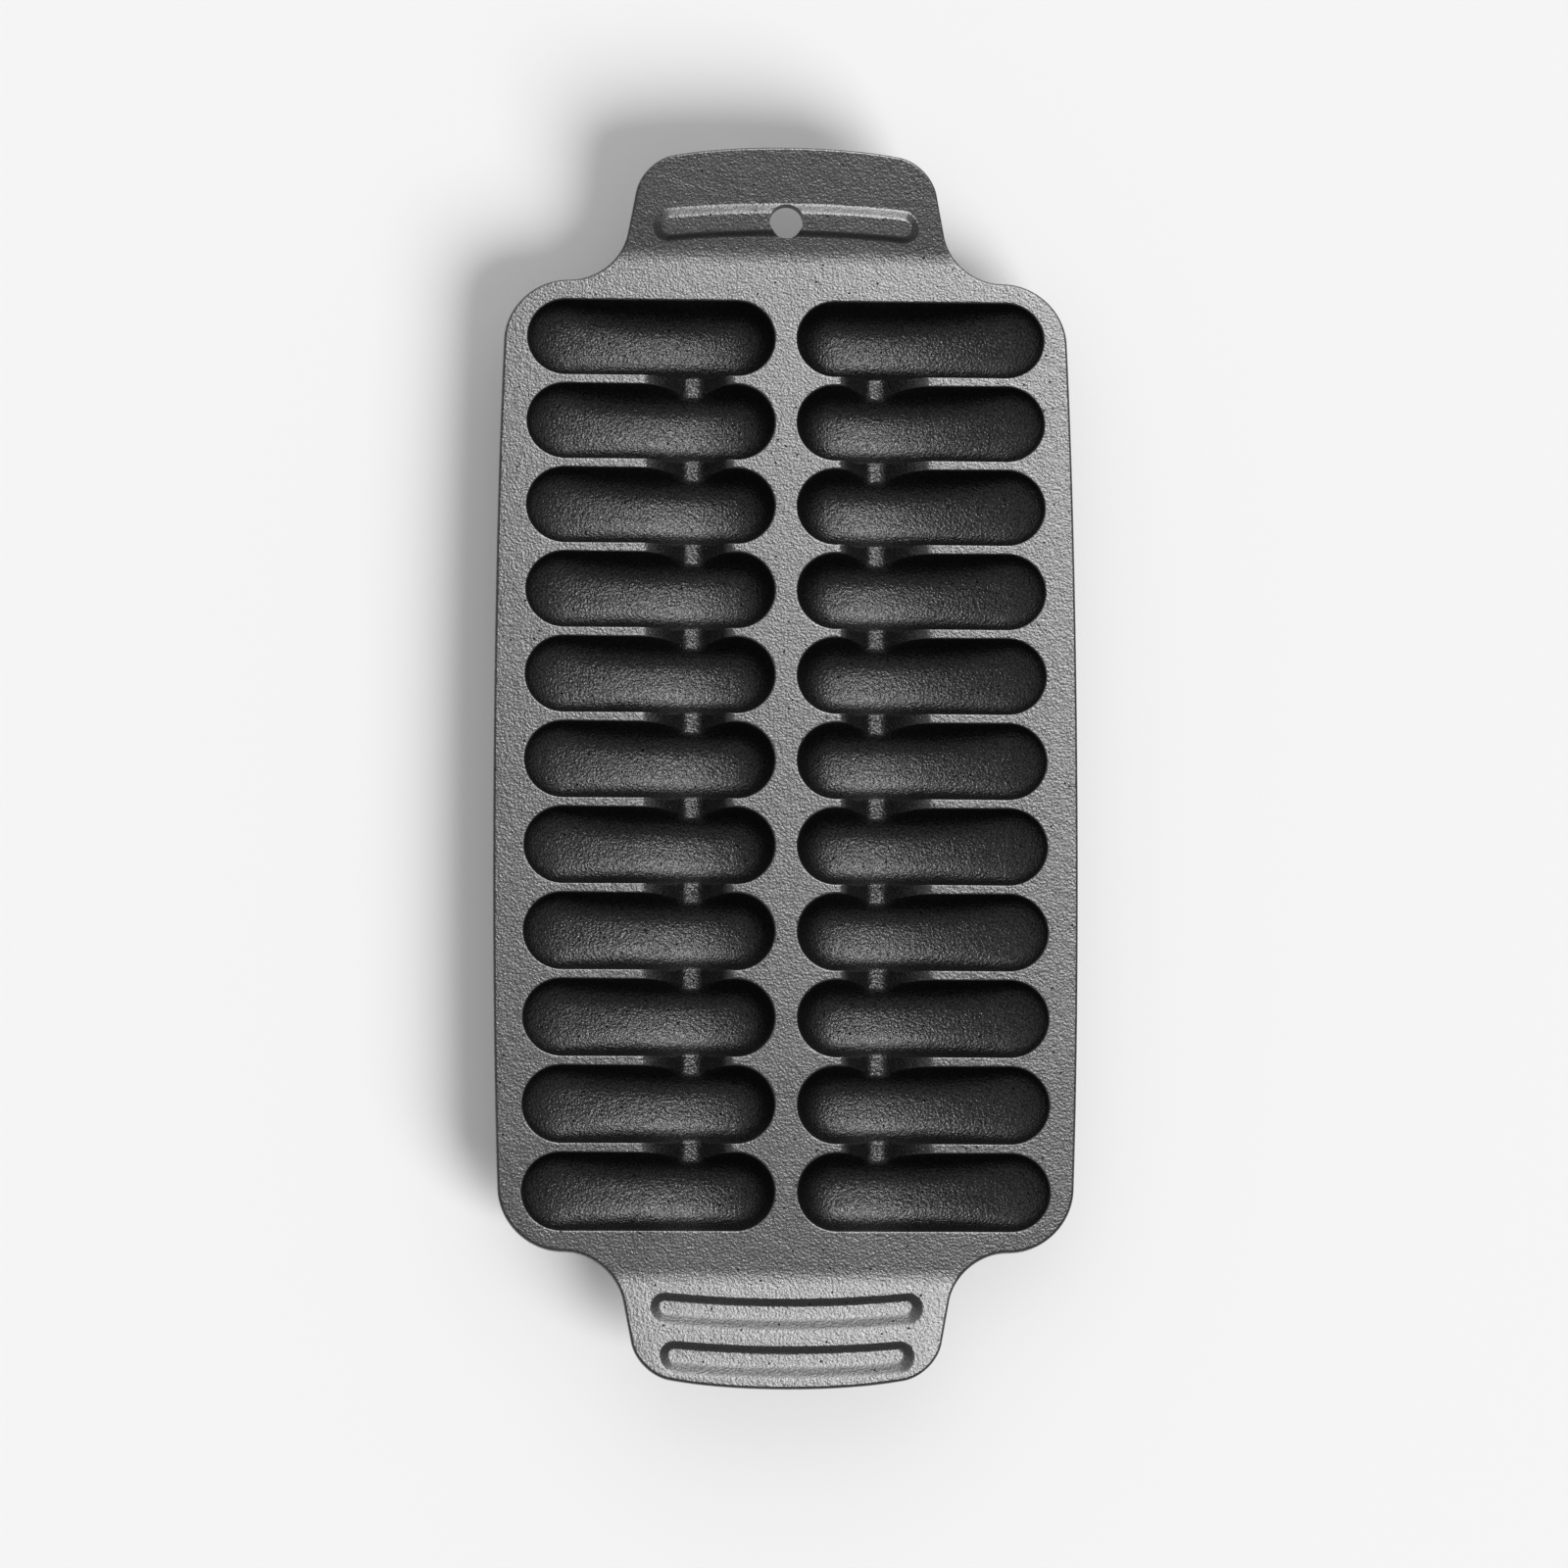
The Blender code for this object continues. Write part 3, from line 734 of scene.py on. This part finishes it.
# Painted shade: the colour darkens by height, from the plate's top down into the hollows and under the
# plate.
painted_hollow_shade = add_node(tree, "MapRange", {**by_height, "To Min": HOLLOW_PAINTED_SHADE, "To Max": 1})
shade = add_node(
    tree,
    "Math",
    {"Value": patched["Result"], "Value_001": painted_hollow_shade["Result"]},
    operation="MULTIPLY",
)
flecked_shade = add_node(
    tree,
    "Math",
    {"Value": flecked["Value"], "Value_001": shade["Value"]},
    operation="MULTIPLY",
)
plain_colour = add_node(
    tree,
    "Mix",
    {"Factor_Float": pits["Result"], "A_Color": linear(IRON_COLOUR), "B_Color": linear(PIT_COLOUR)},
    data_type="RGBA",
)
coloured = add_node(
    tree,
    "VectorMath",
    {"Vector": plain_colour["Result_Color"], "Scale": flecked_shade["Value"]},
    operation="SCALE",
)
sheen_ends = {
    "To Min": SHEEN_ROUGHNESS - SHEEN_VARIATION,
    "To Max": SHEEN_ROUGHNESS + SHEEN_VARIATION,
}
sheen = add_node(tree, "MapRange", {**patches_over_iron, **sheen_ends})

shader = tree.nodes["Principled BSDF"]
shader.inputs["Metallic"].default_value = IRON_METALLIC
tree.links.new(coloured["Vector"], shader.inputs["Base Color"])
tree.links.new(sheen["Result"], shader.inputs["Roughness"])
tree.links.new(pitted["Normal"], shader.inputs["Normal"])
pan.data.materials.clear()
pan.data.materials.append(iron)


# The stage: a plain pale matt floor, wide enough to fill the view from any side. Its own sun falls
# from the lower right, so that the shadow lies to the upper left as in the photo. A weak glow, which
# lights nothing, lifts it to white for the camera and in reflections.

FLOOR_SIZE = 48.0
FLOOR_GAP = 0.0002
FLOOR_COLOUR = "#e1e1e1"
FLOOR_ROUGHNESS = 0.8
FLOOR_LIFT = 0.13
FLOOR_SUN = 3.68
FLOOR_SUN_WIDTH = math.radians(33)
FLOOR_SUN_SLANT = Vector((1.0, -1.1, 1.0))

ground = bmesh.new()
bmesh.ops.create_grid(ground, x_segments=1, y_segments=1, size=FLOOR_SIZE / 2)
floor = object_from("floor", ground)
floor.location.z = -FLOOR_GAP
paper = bpy.data.materials.new("pale_matt_floor")
paper.use_nodes = True
tree = paper.node_tree
shader = tree.nodes["Principled BSDF"]
shader.inputs["Base Color"].default_value = linear(FLOOR_COLOUR)
shader.inputs["Roughness"].default_value = FLOOR_ROUGHNESS
rays = add_node(tree, "LightPath", {})
seen = add_node(
    tree,
    "Math",
    {"Value": rays["Is Camera Ray"], "Value_001": rays["Is Glossy Ray"]},
    operation="MAXIMUM",
)
seen = add_node(
    tree,
    "Math",
    {"Value": seen["Value"], "Value_001": rays["Is Transmission Ray"]},
    operation="MAXIMUM",
)
lifted = add_node(
    tree,
    "Math",
    {"Value": seen["Value"], "Value_001": FLOOR_LIFT},
    operation="MULTIPLY",
)
shader.inputs["Emission Color"].default_value = (1, 1, 1, 1)
tree.links.new(lifted["Value"], shader.inputs["Emission Strength"])
floor.data.materials.append(paper)


# Light and camera: two soft boxes beyond the handle with the hole light the pan alone, and the
# white room is brighter on that side than on the other. The camera stands above the handle with the
# grooves and looks down. Slants and widths of the boxes are in degrees, as seen from the pan.

CAMERA_PLACE = Vector((-0.0783, -0.2891, 1.7977))
CAMERA_AIM = Vector((-0.0007, -0.0078, 0.0215))
CAMERA_LENS = 128.57
CAMERA_SENSOR = 36.0
BOX_DISTANCE = 8.0
BOX_SLANT_ACROSS = 12
KEY_SLANT = 24
KEY_WIDTH = 18
KEY_HEIGHT = 24
KEY_BRIGHTNESS = 11.8
FAR_KEY_SLANT = 50
FAR_KEY_WIDTH = 20
FAR_KEY_HEIGHT = 26
FAR_KEY_BRIGHTNESS = 5.0
ROOM_LIGHT = 0.27
ROOM_LIGHT_BEYOND = 0.9
ROOM_TURN_START = 0.2
ROOM_TURN_END = 0.9


def aimed(item, place, aim):
    """Places a lamp or the camera, turned so that it looks at aim with +Y of the pan upwards."""
    back = (place - aim).normalized()
    right = Vector((0, 1, 0)).cross(back).normalized()
    turn = Matrix((right, back.cross(right), back)).transposed()
    item.location = place
    item.rotation_euler = turn.to_euler()
    bpy.context.scene.collection.objects.link(item)


def only_for(lamp, item):
    """Lets a lamp light this one object."""
    receivers = bpy.data.collections.new(lamp.name + "_receivers")
    receivers.objects.link(item)
    lamp.light_linking.receiver_collection = receivers


def soft_box(name, slant, width, height, brightness):
    """A rectangular lamp for the pan alone, slanted towards +Y, that renders at this brightness."""
    box = bpy.data.objects.new(name, bpy.data.lights.new(name, "AREA"))
    box.data.shape = "RECTANGLE"
    box.data.size = 2 * BOX_DISTANCE * math.tan(math.radians(width / 2))
    box.data.size_y = 2 * BOX_DISTANCE * math.tan(math.radians(height / 2))
    box.data.energy = brightness * math.pi * box.data.size * box.data.size_y
    place = Vector((math.tan(math.radians(BOX_SLANT_ACROSS)), math.tan(math.radians(slant)), 1))
    aimed(box, place.normalized() * BOX_DISTANCE, Vector((0, 0, 0)))
    only_for(box, pan)


camera = bpy.data.objects.new("camera", bpy.data.cameras.new("camera"))
camera.data.lens = CAMERA_LENS
camera.data.sensor_width = CAMERA_SENSOR
aimed(camera, CAMERA_PLACE, CAMERA_AIM)
bpy.context.scene.camera = camera

soft_box("key", KEY_SLANT, KEY_WIDTH, KEY_HEIGHT, KEY_BRIGHTNESS)
soft_box("far_key", FAR_KEY_SLANT, FAR_KEY_WIDTH, FAR_KEY_HEIGHT, FAR_KEY_BRIGHTNESS)

floor_light = bpy.data.objects.new("floor_light", bpy.data.lights.new("floor_light", "SUN"))
floor_light.data.energy = FLOOR_SUN
floor_light.data.angle = FLOOR_SUN_WIDTH
aimed(floor_light, FLOOR_SUN_SLANT, Vector((0, 0, 0)))
only_for(floor_light, floor)

world = bpy.data.worlds.new("studio")
world.use_nodes = True
tree = world.node_tree
direction = add_node(tree, "TexCoord", {})["Generated"]
onward = add_node(tree, "SeparateXYZ", {"Vector": direction})["Y"]
room_ends = {"From Min": ROOM_TURN_START, "From Max": ROOM_TURN_END}
room_ends.update({"To Min": ROOM_LIGHT, "To Max": ROOM_LIGHT_BEYOND})
room = add_node(tree, "MapRange", {"Value": onward, **room_ends})
background = tree.nodes["Background"]
background.inputs["Color"].default_value = (1, 1, 1, 1)
tree.links.new(room["Result"], background.inputs["Strength"])
bpy.context.scene.world = world
bpy.context.scene.view_settings.view_transform = "Standard"
